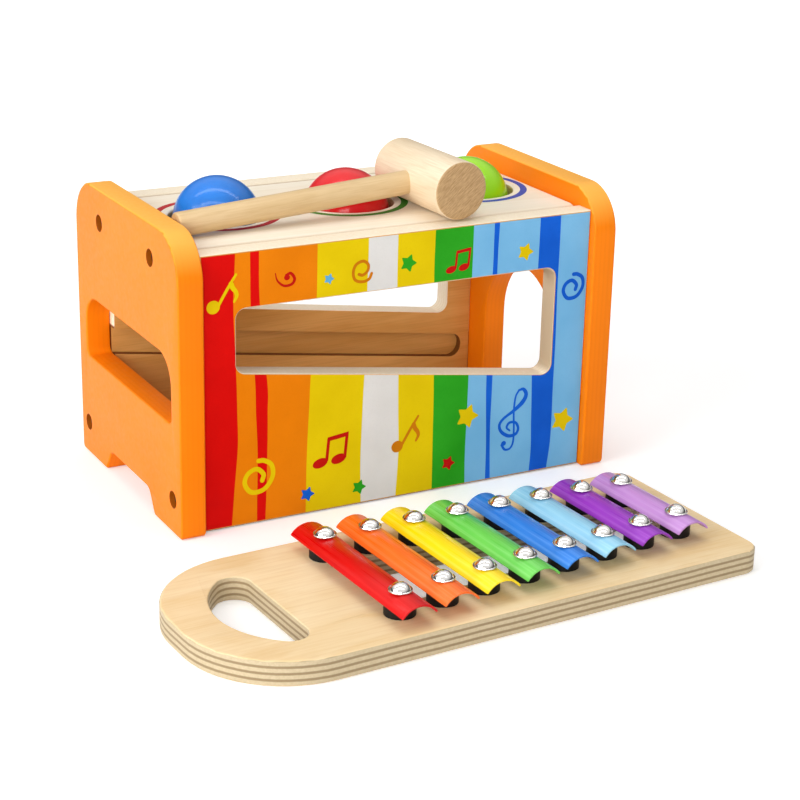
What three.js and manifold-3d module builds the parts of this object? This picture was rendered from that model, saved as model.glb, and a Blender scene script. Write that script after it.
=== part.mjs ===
// A pounding bench with three balls and a mallet, and a xylophone that slides into the bench.
// Millimetres, +Z up. The set stands on the plane Z = 0 with its middle over the origin.
import * as THREE from "three";
import { mergeVertices } from "three/addons/utils/BufferGeometryUtils.js";
import Module from "manifold-3d";

// Fits
const fitGap = 0.3; // round a piece in the hole that is cut for it
const seatGap = 0.1; // between faces that are glued, screwed or laid together

// Bench panels
const benchLength = 250;
const endThickness = 13.5;
const endDepth = 144;
const endHeight = 155;
const endTopRadius = 24;
const edgeRound = 0.9;
const footCornerRound = 2.1; // more than the edges' own rounding
const panelThickness = 12;
const panelSetBack = 5; // behind the end panels' edges
const endRise = 10.8; // the end panels' tops above the front and back panels
const panelFootGap = 0.5; // the end panels alone stand on the table
const panelEdgeRound = 0.6;
const windowLength = 183.5;
const windowShift = -1; // the window's middle from the bench's middle
const windowRail = 29; // wood above the window
const sillDrop = 75.4; // below the panel's top at the middle of the bench, sloping like the groove
const backWindowReach = 4.6; // how much further right the back panel's window goes
const windowRadius = 5.5;
const footNotchWidth = 70;
const footNotchTopWidth = 55.5;
const footNotchHeight = 12.3;
const footNotchRadius = 5.5;
const archWidth = 75;
const archTop = 95.5;
const archCrownFlat = 1;

// Groove for the xylophone, in the inside of the front and back panels
const grooveTilt = THREE.MathUtils.degToRad(8.3); // down towards the arch
const grooveDrop = 95.7; // its centre line below the panel's top at the middle of the bench
const grooveDepth = 4.6;
const grooveClearance = 2; // over the xylophone board's thickness
const grooveEndWall = 6.1; // wood left between its end and the right end panel
const grooveEndFlat = 1;
const dockSideClearance = 2.5; // between the board's edge and the bottom of the groove

// Slot in the left end panel, round the docked xylophone
const slotSideClearance = 3.25;
const slotFloorClearance = 2.55;
const slotHeadClearance = 3.6;
const slotTopRadius = 15;
const slotFloorRadius = 4;

// Top board, balls and the rubber that holds them
const topBoardThickness = 16;
const topBoardRise = 0.7; // above the front and back panels
const topBoardRound = 3.2;
const ballDiameter = 46;
const ballHoleClearance = 2; // all round the ball
const ballHoleRound = 1.5; // at the top of the hole
const ballHoleWeb = 23.8; // wood between two holes
const ballSinks = { blue: 2.8, red: 5.5, green: 6 }; // each ball's centre below the top face
const gripThickness = 2;
const gripRim = 8; // rubber past each hole in the board
const gripCornerRadius = 6;

// Bench screws
const benchScrewShank = 4;
const benchScrewHead = 7.5;
const benchScrewHeadHeight = 2.5;
const benchScrewLength = 36;
const benchScrewTip = 4;
const counterboreDiameter = 9;
const counterboreDepth = 5;
const topScrewSpacing = 71.5;
const footScrewHeight = 18.5;

// Mallet
const headDiameter = 30.6;
const headLength = 63.8;
const headChamfer = 1.2;
const handleDiameter = 12.6;
const handleReach = 145.3; // from the head's axis to the end of the handle
const handleRound = 1.5;
const tenonDiameter = 8;
const tenonDepth = 22;
const malletTurn = THREE.MathUtils.degToRad(2.2);
const malletEndGap = 0.3; // between the end of the handle and the left end panel
const malletBallGap = 6.2; // how far the head lies in front of the balls

// Xylophone board
const boardLength = 286.4;
const boardThickness = 12.2;
const boardEndFlat = 13.7;
const boardCornerRadius = 9.5;
const boardEdgeRound = 0.8;
const handHoleRim = 20.5;
const handHoleDepth = 29.8;
const handHoleArc = 44; // radius of its round side
const handHoleRadius = 8.5;
const resonanceMargin = 1; // wood between the slot under the bars and the spacers
const resonanceRadius = 5;
const xylophoneGap = 45.2; // in front of the bench
const xylophoneShift = -29.2;
const xylophoneTurn = THREE.MathUtils.degToRad(2.9);

// Bars with their screws and spacers
const barPitch = 23.65;
const lastBarInset = 27.2; // from the board's right end
const barSideClearance = 2.9; // between the longest bar and the bench's inside
const lastBarLength = 72.8;
const firstScrewInset = 17.4; // from the end of the longest bar
const lastScrewInset = 14; // from the end of the shortest bar
const barWidth = 18.8;
const barRise = 4.9;
const barThickness = 1;
const barLift = 6.4; // bar edges above the board
const domeDiameter = 11.5;
const domeHeight = 4;
const domeRim = 0.8;
const domeShank = 3.5;
const domeScrewHold = 9; // shank in the board
const domeScrewTip = 2;
const spacerDiameter = 15;

// Fineness of round shapes
const arcSteps = 7;
const barArcSteps = 4;
const ballHoleSteps = 24;
const ballSides = 32;
const ballRings = 18;
const turnedSides = 24;
const headSides = 40;
const smallSides = 10;
const domeSteps = 3;

// Finishes
const orangePaint = { color: 0xf58220, roughness: 0.45, metalness: 0 };
const paleWood = { color: 0xe9d3a8, roughness: 0.6, metalness: 0 };
const plywood = { color: 0xe3c795, roughness: 0.6, metalness: 0 };
const blackRubber = { color: 0x151515, roughness: 0.8, metalness: 0 };
const chrome = { color: 0xd8d8d8, roughness: 0.12, metalness: 1 };
const screwSteel = { color: 0x8a8378, roughness: 0.4, metalness: 1 };
const ballPaints = {
  blue: { color: 0x1f66c8, roughness: 0.3, metalness: 0 },
  red: { color: 0xd8141c, roughness: 0.3, metalness: 0 },
  green: { color: 0x86d81e, roughness: 0.3, metalness: 0 },
};
const barPaints = [
  ["red", 0xe6161a],
  ["orange", 0xf4661e],
  ["yellow", 0xf8dc1a],
  ["green", 0x5fc04a],
  ["blue", 0x2f7fe0],
  ["light_blue", 0x9fd8ee],
  ["purple", 0x8f3cb4],
  ["lilac", 0xc58ad0],
];

// Sizes that follow from the ones above
const innerLength = benchLength - 2 * endThickness;
const panelLength = innerLength - 2 * seatGap;
const panelOuterY = endDepth / 2 - panelSetBack;
const panelInnerY = panelOuterY - panelThickness;
const innerDepth = 2 * panelInnerY;
const panelTop = endHeight - endRise;
const windowTop = panelTop - windowRail;
const topBoardTop = panelTop + topBoardRise;
const topBoardMiddle = topBoardTop - topBoardThickness / 2;
const ballRadius = ballDiameter / 2;
const ballHoleRadius = ballRadius + ballHoleClearance;
const ballPitch = 2 * ballHoleRadius + ballHoleWeb;
const ballHeights = Object.values(ballSinks).map((sink) => topBoardTop - sink);
const grooveHeight = panelTop - grooveDrop;
const grooveSlope = Math.tan(grooveTilt);
const slotLevel = grooveHeight + (grooveSlope * benchLength) / 2; // the groove's height at the slot
const boardWidth = innerDepth + 2 * (grooveDepth - dockSideClearance);
const firstBarLength = innerDepth - 2 * barSideClearance;
const barCount = barPaints.length;
const barStack = barLift + barRise + seatGap + domeHeight; // bars and screws above the board
const barOuterRadius = (barWidth ** 2 / 4 + barRise ** 2) / (2 * barRise);
const barInnerRadius = barOuterRadius - barThickness;
const barArcCentre = boardThickness + barLift + barRise - barOuterRadius;
const barHalfAngle = Math.asin(barWidth / 2 / barOuterRadius);
const barCrown = boardThickness + barLift + barRise;
const spacerRadius = spacerDiameter / 2;
const domeScrewHole = domeShank + 2 * fitGap;

const wasm = await Module();
wasm.setup();

// A closed geometry as a solid that can be cut and joined.
function solidOf(geometry) {
  geometry.deleteAttribute("normal");
  geometry.deleteAttribute("uv");
  const merged = mergeVertices(geometry);
  const corners = merged.index.array;
  const kept = [];
  for (let i = 0; i < corners.length; i += 3) {
    const [a, b, c] = corners.slice(i, i + 3);
    if (a !== b && b !== c && c !== a) kept.push(a, b, c);
  }
  return new wasm.Manifold(
    new wasm.Mesh({
      numProp: 3,
      vertProperties: merged.attributes.position.array,
      triVerts: new Uint32Array(kept),
    }),
  );
}

function geometryOf(solid) {
  const mesh = solid.getMesh();
  const geometry = new THREE.BufferGeometry();
  geometry.setAttribute("position", new THREE.BufferAttribute(mesh.vertProperties, 3));
  geometry.setIndex(new THREE.BufferAttribute(mesh.triVerts, 1));
  geometry.computeVertexNormals();
  return geometry;
}

function addPiece(parent, name, solid, finish) {
  const mesh = new THREE.Mesh(geometryOf(solid), new THREE.MeshStandardMaterial(finish));
  mesh.name = name;
  parent.add(mesh);
  return mesh;
}

// An outline through corners [x, y, radius], each rounded by its own arc, starting at the first arc.
function roundedOutline(corners, outline) {
  const first = Math.max(0, corners.findIndex(([, , radius]) => radius > 0));
  const inOrder = [...corners.slice(first), ...corners.slice(0, first)];
  const points = inOrder.map(([x, y]) => new THREE.Vector2(x, y));
  inOrder.forEach(([x, y, radius], i) => {
    if (radius === 0) {
      if (i === 0) outline.moveTo(x, y);
      else outline.lineTo(x, y);
      return;
    }
    const here = points[i];
    const before = points.at(i - 1).clone().sub(here).normalize();
    const after = points[(i + 1) % points.length].clone().sub(here).normalize();
    const half = Math.acos(before.dot(after)) / 2;
    const centre = before.clone().add(after).setLength(radius / Math.sin(half)).add(here);
    const start = before.setLength(radius / Math.tan(half)).add(here).sub(centre);
    const end = after.setLength(radius / Math.tan(half)).add(here).sub(centre);
    const clockwise = start.cross(end) < 0;
    outline.absarc(centre.x, centre.y, radius, start.angle(), end.angle(), clockwise);
  });
  outline.closePath();
  return outline;
}

// A flat plate of an outline, from 0 to its thickness, with its edges rounded over.
function plate(outline, thickness, round, steps = arcSteps) {
  const geometry = new THREE.ExtrudeGeometry(outline, {
    depth: thickness - 2 * round,
    bevelEnabled: round > 0,
    bevelThickness: round,
    bevelSize: round,
    bevelOffset: -round,
    bevelSegments: 1,
    curveSegments: steps,
  });
  return solidOf(geometry.translate(0, 0, round));
}

// A turned piece round the Z axis. Its [radius, height] points run up from the axis to the axis.
function turned(profile, sides) {
  const points = profile.map(([radius, height]) => new THREE.Vector2(radius, height));
  return solidOf(new THREE.LatheGeometry(points, sides).rotateX(Math.PI / 2));
}

function rod(diameter, bottom, top, sides) {
  const radius = diameter / 2;
  return turned([[0, bottom], [radius, bottom], [radius, top], [0, top]], sides);
}

function quarterRound(centreRadius, centreHeight, round, fromAngle) {
  return [0, 0.5, 1].map((share) => {
    const angle = fromAngle + (share * Math.PI) / 2;
    return [centreRadius + round * Math.cos(angle), centreHeight + round * Math.sin(angle)];
  });
}

// Turns that set a plate drawn in the XY plane upright, and a Z rod along X.
const facingX = new THREE.Matrix4().makeBasis(
  new THREE.Vector3(0, 1, 0),
  new THREE.Vector3(0, 0, 1),
  new THREE.Vector3(1, 0, 0),
);
const facingFront = new THREE.Matrix4().makeBasis(
  new THREE.Vector3(1, 0, 0),
  new THREE.Vector3(0, 0, 1),
  new THREE.Vector3(0, -1, 0),
);

const set = new THREE.Group();
const bench = new THREE.Group();
const mallet = new THREE.Group();
const xylophone = new THREE.Group();
set.add(bench, mallet, xylophone);

// Bench screws: [y, z] of each, two into the top board and one into each panel's end.
const panelMiddleY = panelOuterY - panelThickness / 2;
const benchScrewPlaces = [
  [-topScrewSpacing / 2, topBoardMiddle],
  [topScrewSpacing / 2, topBoardMiddle],
  [-panelMiddleY, footScrewHeight],
  [panelMiddleY, footScrewHeight],
];
const benchScrewSeat = benchLength / 2 - counterboreDepth; // from the bench's middle
const benchScrewReach = benchScrewSeat - benchScrewLength;
const benchScrewHole = benchScrewShank + 2 * fitGap;

// The pilot hole of each bench screw, as far as it goes into the wood behind the end panel.
function benchPilots(places) {
  const hole = rod(benchScrewHole, benchScrewReach - fitGap, benchLength / 2, smallSides);
  const pilots = [-1, 1].flatMap((side) =>
    places.map(([y, z]) => hole.rotate([0, side * 90, 0]).translate([0, y, z])),
  );
  return wasm.Manifold.union(pilots);
}

// End panels, drawn in the YZ plane
const endTopCorners = [
  [endDepth / 2, endHeight, endTopRadius],
  [-endDepth / 2, endHeight, endTopRadius],
];

const footRadius = edgeRound + footCornerRound;

function endPanel(footCorners, opening) {
  const feet = [[-endDepth / 2, 0, footRadius], ...footCorners, [endDepth / 2, 0, footRadius]];
  const outline = roundedOutline([...feet, ...endTopCorners], new THREE.Shape());
  if (opening) outline.holes.push(roundedOutline(opening, new THREE.Path()));
  return plate(outline, endThickness, edgeRound);
}

// Holes through a panel whose outer face is at the plate's top, with a counterbore for each head.
function endPanelHoles() {
  const seat = endThickness - counterboreDepth;
  const shank = rod(benchScrewHole, -fitGap, endThickness, smallSides);
  const head = rod(counterboreDiameter, seat, endThickness + fitGap, turnedSides);
  const hole = shank.add(head);
  return wasm.Manifold.union(benchScrewPlaces.map(([y, z]) => hole.translate([y, z, 0])));
}

const slotHalf = boardWidth / 2 + slotSideClearance;
const boardBelow = boardThickness / 2 / Math.cos(grooveTilt);
const barsAbove = (boardThickness / 2 + barStack) / Math.cos(grooveTilt);
const slotFloor = slotLevel - boardBelow - slotFloorClearance;
const slotHead = slotLevel + barsAbove + slotHeadClearance;
const slotOutline = [
  [-slotHalf, slotFloor, slotFloorRadius],
  [slotHalf, slotFloor, slotFloorRadius],
  [slotHalf, slotHead, slotTopRadius],
  [-slotHalf, slotHead, slotTopRadius],
];
const footNotch = [
  [-footNotchWidth / 2, 0, footRadius],
  [-footNotchTopWidth / 2, footNotchHeight, footNotchRadius],
  [footNotchTopWidth / 2, footNotchHeight, footNotchRadius],
  [footNotchWidth / 2, 0, footRadius],
];
const archRadius = (archWidth - archCrownFlat) / 2;
const archOutline = [
  [-archWidth / 2, 0, footRadius],
  [-archWidth / 2, archTop, archRadius],
  [archWidth / 2, archTop, archRadius],
  [archWidth / 2, 0, footRadius],
];
const outerFaceDown = new THREE.Matrix4().makeScale(-1, 1, 1);
const leftPanel = endPanel(footNotch, slotOutline).subtract(endPanelHoles());
const rightPanel = endPanel(archOutline).subtract(endPanelHoles());
const leftMatrix = outerFaceDown.clone().multiply(facingX);
addPiece(bench, "left_end_panel", leftPanel.transform(leftMatrix.elements), orangePaint)
  .position.setX(-innerLength / 2);
addPiece(bench, "right_end_panel", rightPanel.transform(facingX.elements), orangePaint)
  .position.setX(innerLength / 2);

// Front and back panels, drawn in the XZ plane with the inside at the plate's bottom
function windowSill(x) {
  return panelTop - sillDrop - grooveSlope * x;
}

function sidePanel(windowReach) {
  const left = windowShift - windowLength / 2;
  const right = windowShift + windowLength / 2 + windowReach;
  const outline = roundedOutline(
    [
      [-panelLength / 2, panelFootGap, 0],
      [panelLength / 2, panelFootGap, 0],
      [panelLength / 2, panelTop, 0],
      [-panelLength / 2, panelTop, 0],
    ],
    new THREE.Shape(),
  );
  const window = [
    [left, windowSill(left), windowRadius],
    [right, windowSill(right), windowRadius],
    [right, windowTop, windowRadius],
    [left, windowTop, windowRadius],
  ];
  outline.holes.push(roundedOutline(window, new THREE.Path()));
  return plate(outline, panelThickness, panelEdgeRound);
}

// The groove runs out of the panel at the slot and ends round before the arch.
function groove() {
  const half = (boardThickness + grooveClearance) / 2;
  const end = (innerLength / 2 - grooveEndWall) / Math.cos(grooveTilt);
  const start = -benchLength / 2 / Math.cos(grooveTilt);
  const outline = roundedOutline(
    [
      [start, -half, 0],
      [end, -half, half - grooveEndFlat / 2],
      [end, half, half - grooveEndFlat / 2],
      [start, half, 0],
    ],
    new THREE.Shape(),
  );
  const slope = -THREE.MathUtils.radToDeg(grooveTilt);
  const cut = plate(outline, grooveDepth + fitGap, 0).rotate([0, 0, slope]);
  return cut.translate([0, grooveHeight, -fitGap]);
}

const footPilots = benchPilots(benchScrewPlaces.slice(2));
const frontPanel = sidePanel(0).subtract(groove());
const backPanel = sidePanel(backWindowReach).subtract(groove());
const atFront = facingFront.clone().setPosition(0, -panelInnerY, 0);
const atBack = new THREE.Matrix4().makeScale(1, -1, 1).multiply(atFront);
addPiece(bench, "front_panel", frontPanel.transform(atFront.elements).subtract(footPilots), plywood);
addPiece(bench, "back_panel", backPanel.transform(atBack.elements).subtract(footPilots), plywood);

// Top board with a hole for each ball, and the rubber sheet below it
const ballPlaces = [-ballPitch, 0, ballPitch];

function withBallHoles(outline, radii) {
  ballPlaces.forEach((x, i) => {
    outline.holes.push(new THREE.Path().absarc(x, 0, radii[i], 0, 2 * Math.PI));
  });
  return outline;
}

function rectangle(length, width, radius) {
  const corners = [[-1, -1], [1, -1], [1, 1], [-1, 1]];
  const rounded = corners.map(([x, y]) => [(x * length) / 2, (y * width) / 2, radius]);
  return roundedOutline(rounded, new THREE.Shape());
}

// The shape cut out of the board for a ball, with the board's top face at 0
const ballHole = turned(
  [
    [0, -topBoardThickness - fitGap],
    [ballHoleRadius, -topBoardThickness - fitGap],
    [ballHoleRadius, -ballHoleRound],
    [ballHoleRadius + ballHoleRound, 0],
    [ballHoleRadius + ballHoleRound, fitGap],
    [0, fitGap],
  ],
  2 * ballHoleSteps,
);
const ballHoles = wasm.Manifold.union(ballPlaces.map((x) => ballHole.translate([x, 0, 0])));
const topBlank = rectangle(innerLength - 2 * fitGap, innerDepth - 2 * fitGap, 0);
const topPlate = plate(topBlank, topBoardThickness, topBoardRound).translate([0, 0, -topBoardThickness]);
const topBoard = topPlate.subtract(ballHoles).translate([0, 0, topBoardTop]);
const topPilots = benchPilots(benchScrewPlaces.slice(0, 2));
addPiece(bench, "top_board", topBoard.subtract(topPilots), paleWood);

const gripTop = topBoardTop - topBoardThickness - seatGap;
const gripHoleRadii = ballHeights.map((z) => Math.sqrt(ballRadius ** 2 - (z - gripTop) ** 2) + fitGap);
const gripSpan = 2 * (ballHoleRadius + gripRim);
const gripBlank = rectangle(2 * ballPitch + gripSpan, gripSpan, gripCornerRadius);
const gripOutline = withBallHoles(gripBlank, gripHoleRadii);
const gripSheet = plate(gripOutline, gripThickness, 0, ballHoleSteps);
addPiece(bench, "ball_grip_sheet", gripSheet, blackRubber).position.setZ(gripTop - gripThickness);

const ballShape = new THREE.SphereGeometry(ballRadius, ballSides, ballRings);
const ball = solidOf(ballShape.rotateX(Math.PI / 2));
Object.entries(ballPaints).forEach(([colour, paint], i) => {
  addPiece(bench, "ball_" + colour, ball, paint).position.set(ballPlaces[i], 0, ballHeights[i]);
});

// Bench screws with a flat head, drawn along Z with the head up and its seat at 0
const benchScrew = turned(
  [
    [0, -benchScrewLength],
    [benchScrewShank / 2, benchScrewTip - benchScrewLength],
    [benchScrewShank / 2, 0],
    [benchScrewHead / 2, 0],
    [benchScrewHead / 2, benchScrewHeadHeight],
    [0, benchScrewHeadHeight],
  ],
  smallSides,
);
for (const [side, word] of [[-1, "left"], [1, "right"]]) {
  benchScrewPlaces.forEach(([y, z], i) => {
    const screw = addPiece(bench, `bench_screw_${word}_${i + 1}`, benchScrew, screwSteel);
    screw.rotation.y = (side * Math.PI) / 2;
    screw.position.set(side * (benchScrewSeat + seatGap), y, z);
  });
}

// Mallet, drawn round the middle of its head: the head along Y, the handle towards -X
const headRadius = headDiameter / 2;
const handleRadius = handleDiameter / 2;
const tenonEnd = headRadius - tenonDepth;
const tenonHole = rod(tenonDiameter + 2 * fitGap, tenonEnd - fitGap, headDiameter, turnedSides);
const headBlank = turned(
  [
    [0, -headLength / 2],
    [headRadius - headChamfer, -headLength / 2],
    [headRadius, headChamfer - headLength / 2],
    [headRadius, headLength / 2 - headChamfer],
    [headRadius - headChamfer, headLength / 2],
    [0, headLength / 2],
  ],
  headSides,
);
const headSolid = headBlank.rotate([90, 0, 0]).subtract(tenonHole.rotate([0, -90, 0]));
const shoulder = headRadius + seatGap;
const handleSolid = turned(
  [
    [0, tenonEnd],
    [tenonDiameter / 2, tenonEnd],
    [tenonDiameter / 2, shoulder],
    ...quarterRound(handleRadius - handleRound, shoulder + handleRound, handleRound, -Math.PI / 2),
    ...quarterRound(handleRadius - handleRound, handleReach - handleRound, handleRound, 0),
    [0, handleReach],
  ],
  turnedSides,
);
const malletSlope = Math.asin((headRadius - handleRadius) / handleReach);
const tilted = new THREE.Group();
mallet.add(tilted);
addPiece(tilted, "mallet_head", headSolid, paleWood);
addPiece(tilted, "mallet_handle", handleSolid.rotate([0, -90, 0]), paleWood);
tilted.rotation.y = -malletSlope;
mallet.rotation.z = malletTurn;

// The head's middle lies between two balls, or the whole head in front of them where that is too narrow.
const malletX = handleReach + malletEndGap - innerLength / 2;
const malletZ = topBoardTop + headRadius + fitGap;
const ballDistances = ballPlaces.map((x, i) => Math.hypot(malletX - x, malletZ - ballHeights[i]));
const headSwing = (headLength / 2) * Math.sin(malletTurn);
const besideBall = Math.min(...ballDistances) - headRadius - headSwing;
const ballInTheWay = Math.sqrt(Math.max(0, ballRadius ** 2 - besideBall ** 2));
const malletFront = ballInTheWay > 0 ? ballInTheWay + headLength / 2 : ballRadius;
mallet.position.set(malletX, -(malletFront + malletBallGap), malletZ);

// Xylophone, drawn with the board's middle over the origin and its hand hole towards -X
function barAt(i) {
  const share = i / (barCount - 1);
  const x = boardLength / 2 - lastBarInset - (barCount - 1 - i) * barPitch;
  const length = THREE.MathUtils.lerp(firstBarLength, lastBarLength, share);
  const inset = THREE.MathUtils.lerp(firstScrewInset, lastScrewInset, share);
  return { x, length, screwY: length / 2 - inset };
}
const bars = barPaints.map((_, i) => barAt(i));

// A D: an arc along the board's round end, closed by a straight grip.
function handHole() {
  const centre = handHoleRim + handHoleArc - boardLength / 2;
  const grip = handHoleRim + handHoleDepth - boardLength / 2;
  const cornerX = grip - handHoleRadius;
  const cornerY = Math.sqrt((handHoleArc - handHoleRadius) ** 2 - (cornerX - centre) ** 2);
  const turn = Math.atan2(cornerY, cornerX - centre);
  const outline = new THREE.Path();
  outline.absarc(cornerX, cornerY, handHoleRadius, 0, turn);
  outline.absarc(centre, 0, handHoleArc, turn, 2 * Math.PI - turn);
  outline.absarc(cornerX, -cornerY, handHoleRadius, -turn, 0);
  outline.closePath();
  return outline;
}

function resonanceSlot() {
  const first = bars[0];
  const last = bars[barCount - 1];
  const inFromScrew = spacerRadius + resonanceMargin;
  const corners = [
    [first.x, inFromScrew - first.screwY, resonanceRadius],
    [last.x, inFromScrew - last.screwY, resonanceRadius],
    [last.x, last.screwY - inFromScrew, resonanceRadius],
    [first.x, first.screwY - inFromScrew, resonanceRadius],
  ];
  return roundedOutline(corners, new THREE.Path());
}

function boardSolid() {
  const half = boardLength / 2;
  const endRadius = (boardWidth - boardEndFlat) / 2;
  const outline = roundedOutline(
    [
      [-half, -boardWidth / 2, endRadius],
      [half, -boardWidth / 2, boardCornerRadius],
      [half, boardWidth / 2, boardCornerRadius],
      [-half, boardWidth / 2, endRadius],
    ],
    new THREE.Shape(),
  );
  outline.holes.push(handHole(), resonanceSlot());
  const pilotFloor = boardThickness - domeScrewHold - fitGap;
  const pilot = rod(domeScrewHole, pilotFloor, boardThickness + fitGap, smallSides);
  const pilots = bars.flatMap(({ x, screwY }) =>
    [-screwY, screwY].map((y) => pilot.translate([x, y, 0])),
  );
  return plate(outline, boardThickness, boardEdgeRound).subtract(wasm.Manifold.union(pilots));
}

// A piece of the arch between two radii, as the section of a bar.
function barSection() {
  const outline = new THREE.Shape();
  const from = Math.PI / 2 - barHalfAngle;
  const to = Math.PI / 2 + barHalfAngle;
  outline.absarc(0, barArcCentre, barOuterRadius, from, to);
  outline.absarc(0, barArcCentre, barInnerRadius, to, from, true);
  outline.closePath();
  return outline;
}

// An upright section in XZ made into a solid along Y, round the middle of its length.
function alongY(outline, length) {
  const upright = plate(outline, length, 0, barArcSteps).transform(facingFront.elements);
  return upright.translate([0, length / 2, 0]);
}

function barSolid({ length, screwY }) {
  const hole = rod(domeScrewHole, boardThickness, barCrown + fitGap, smallSides);
  const holes = hole.translate([0, -screwY, 0]).add(hole.translate([0, screwY, 0]));
  return alongY(barSection(), length).subtract(holes);
}

// The rubber fills the arch under the bar: a drum whose top is cut to the bar's inside.
function spacerSolid() {
  const floor = boardThickness + seatGap;
  const drum = rod(spacerDiameter, floor, barCrown, turnedSides);
  const bore = rod(domeScrewHole, floor - fitGap, barCrown + fitGap, smallSides);
  const radius = barInnerRadius - fitGap;
  const reach = Math.asin(Math.min(1, spacerRadius / radius));
  const side = radius * Math.sin(reach);
  const outline = new THREE.Shape();
  outline.moveTo(-side, floor - fitGap);
  outline.lineTo(side, floor - fitGap);
  outline.absarc(0, barArcCentre, radius, Math.PI / 2 - reach, Math.PI / 2 + reach);
  outline.closePath();
  return drum.intersect(alongY(outline, 2 * spacerDiameter)).subtract(bore);
}

// A domed head on a pointed shank, with its seat at 0.
function domeScrewSolid() {
  const radius = domeDiameter / 2;
  const shankLength = barCrown + seatGap - boardThickness + domeScrewHold;
  const cap = [];
  for (let i = 0; i <= domeSteps; i += 1) {
    const angle = (i / domeSteps) * (Math.PI / 2);
    cap.push([radius * Math.cos(angle), domeRim + (domeHeight - domeRim) * Math.sin(angle)]);
  }
  cap[domeSteps][0] = 0;
  return turned(
    [
      [0, -shankLength],
      [domeShank / 2, domeScrewTip - shankLength],
      [domeShank / 2, 0],
      [radius, 0],
      ...cap,
    ],
    smallSides,
  );
}

addPiece(xylophone, "xylophone_board", boardSolid(), plywood);
const spacerShape = spacerSolid();
const screwShape = domeScrewSolid();
bars.forEach((bar, i) => {
  const [colour, color] = barPaints[i];
  const paint = { color, roughness: 0.3, metalness: 0.2 };
  addPiece(xylophone, `bar_${i + 1}_${colour}`, barSolid(bar), paint).position.setX(bar.x);
  for (const [word, y] of [["front", -bar.screwY], ["back", bar.screwY]]) {
    const spacer = addPiece(xylophone, `spacer_${i + 1}_${word}`, spacerShape, blackRubber);
    spacer.position.set(bar.x, y, 0);
    const screw = addPiece(xylophone, `bar_screw_${i + 1}_${word}`, screwShape, chrome);
    screw.position.set(bar.x, y, barCrown + seatGap);
  }
});
xylophone.rotation.z = xylophoneTurn;
xylophone.position.set(xylophoneShift, -(endDepth / 2 + xylophoneGap + boardWidth / 2), 0);

// The middle of the whole set's footprint goes over the origin.
const bounds = new THREE.Box3().setFromObject(set, true);
const middle = bounds.getCenter(new THREE.Vector3());
set.position.set(-middle.x, -middle.y, -bounds.min.z);

const part = new THREE.Group();
part.add(set);

export default part;
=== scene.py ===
from math import acos, asin, cos, pi, radians, sin, tan
import bmesh
import bpy
from mathutils import Matrix, Vector


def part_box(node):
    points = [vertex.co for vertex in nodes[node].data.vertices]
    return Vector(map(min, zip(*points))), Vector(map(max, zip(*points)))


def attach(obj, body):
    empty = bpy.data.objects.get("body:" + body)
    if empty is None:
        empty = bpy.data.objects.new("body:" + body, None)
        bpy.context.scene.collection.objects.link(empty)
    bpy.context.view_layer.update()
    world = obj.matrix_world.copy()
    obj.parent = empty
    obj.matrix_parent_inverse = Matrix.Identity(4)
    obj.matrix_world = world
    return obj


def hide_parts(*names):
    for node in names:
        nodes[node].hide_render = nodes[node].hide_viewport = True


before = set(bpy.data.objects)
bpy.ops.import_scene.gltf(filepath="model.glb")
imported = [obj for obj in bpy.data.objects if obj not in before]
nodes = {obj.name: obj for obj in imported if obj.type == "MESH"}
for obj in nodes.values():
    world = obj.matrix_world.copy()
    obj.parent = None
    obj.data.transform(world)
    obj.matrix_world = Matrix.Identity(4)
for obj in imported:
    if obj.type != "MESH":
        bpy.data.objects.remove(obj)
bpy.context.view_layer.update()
mm = 0.001

# The bench's own middle, at floor level
leftLow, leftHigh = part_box("left_end_panel")
rightLow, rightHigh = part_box("right_end_panel")
benchMiddle = Vector(((leftLow.x + rightHigh.x) / 2, (leftLow.y + leftHigh.y) / 2, 0))


def onBench(x, y, z):
    return benchMiddle + Vector((x, y, z)) * mm


def linear(code):
    parts = [int(code[i:i + 2], 16) / 255 for i in (1, 3, 5)]
    return tuple(c / 12.92 if c <= 0.04045 else ((c + 0.055) / 1.055) ** 2.4 for c in parts) + (1,)


# Shader helpers

def newMaterial(name):
    material = bpy.data.materials.new(name)
    material.use_nodes = True
    material.node_tree.nodes.clear()
    return material, material.node_tree


def addNode(tree, kind, sockets=None, **settings):
    node = tree.nodes.new("ShaderNode" + kind)
    for key, value in settings.items():
        setattr(node, key, value)
    for key, value in (sockets or {}).items():
        if isinstance(value, bpy.types.NodeSocket):
            tree.links.new(value, node.inputs[key])
        else:
            node.inputs[key].default_value = value
    return node


def maths(tree, operation, first, second=0.0):
    return addNode(tree, "Math", {0: first, 1: second}, operation=operation).outputs[0]


def spread(tree, value, low, high, toLow=0.0, toHigh=1.0):
    return addNode(tree, "MapRange", {0: value, 1: low, 2: high, 3: toLow, 4: toHigh}).outputs[0]


def blendColours(tree, share, first, second, how="MIX"):
    sockets = {0: share, 6: first, 7: second}
    return addNode(tree, "Mix", sockets, data_type="RGBA", blend_type=how).outputs[2]


def placeOf(tree, turn=(0, 0, 0)):
    place = addNode(tree, "TexCoord").outputs["Object"]
    return addNode(tree, "Mapping", {"Vector": place, "Rotation": turn}).outputs[0]


def noise(tree, place, stretch, detail=2.0, roughness=0.5, twist=0.0):
    vector = addNode(tree, "Mapping", {"Vector": place, "Scale": stretch}).outputs[0]
    sockets = {"Vector": vector, "Scale": 1.0, "Detail": detail, "Roughness": roughness, "Distortion": twist}
    return addNode(tree, "TexNoise", sockets).outputs[0]


def axisOf(tree, vector, axis):
    return addNode(tree, "SeparateXYZ", {0: vector}).outputs[axis]


def distance(tree, first, second):
    return addNode(tree, "VectorMath", {0: first, 1: second}, operation="DISTANCE").outputs["Value"]


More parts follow.
